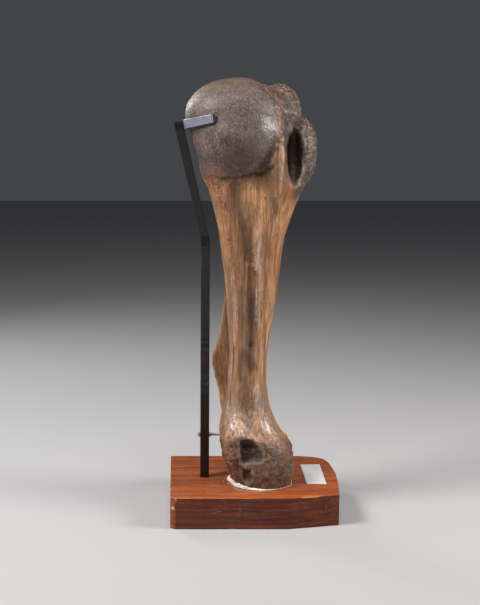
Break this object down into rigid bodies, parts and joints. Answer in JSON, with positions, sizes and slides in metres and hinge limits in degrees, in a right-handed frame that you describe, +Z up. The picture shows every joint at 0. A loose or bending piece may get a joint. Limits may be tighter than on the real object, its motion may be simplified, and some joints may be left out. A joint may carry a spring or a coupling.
{
  "type": "mounted fossil mammoth humerus",
  "caption": "Fossil mammoth upper arm bone standing on a hardwood block, its foot bedded in plaster, its rounded head held by a felt-lined strap on a bent square bar.",
  "frame": {"origin": "centre of the block's underside, on the surface that it stands on", "axes": "+Z up along the bone. +X to the right seen from the front, which is towards the front of the animal. +Y away from the viewer, from the inner side of the bone to its outer side"},
  "size_m": [0.386, 0.3344, 0.9749],
  "materials": {
    "fossil_bone": "satin, varnished, streaked ochre brown with a grey-brown head",
    "hardwood": "varnished",
    "black_steel": "satin black paint",
    "strap_steel": "dark grey, satin",
    "pin_steel": "bright",
    "felt": "matt",
    "plaster": "matt, rough",
    "card": "smooth card"
  },
  "bodies": {
    "root": {"humerus": "fossil_bone", "base_block": "hardwood", "support_bar": "black_steel", "cradle_strap": "strap_steel", "felt_lining": "felt", "support_pin": "pin_steel", "pin_nut_left": "pin_steel", "pin_nut_right": "pin_steel", "plaster_bedding": "plaster", "label_card": "card"}
  },
  "joints": []
}
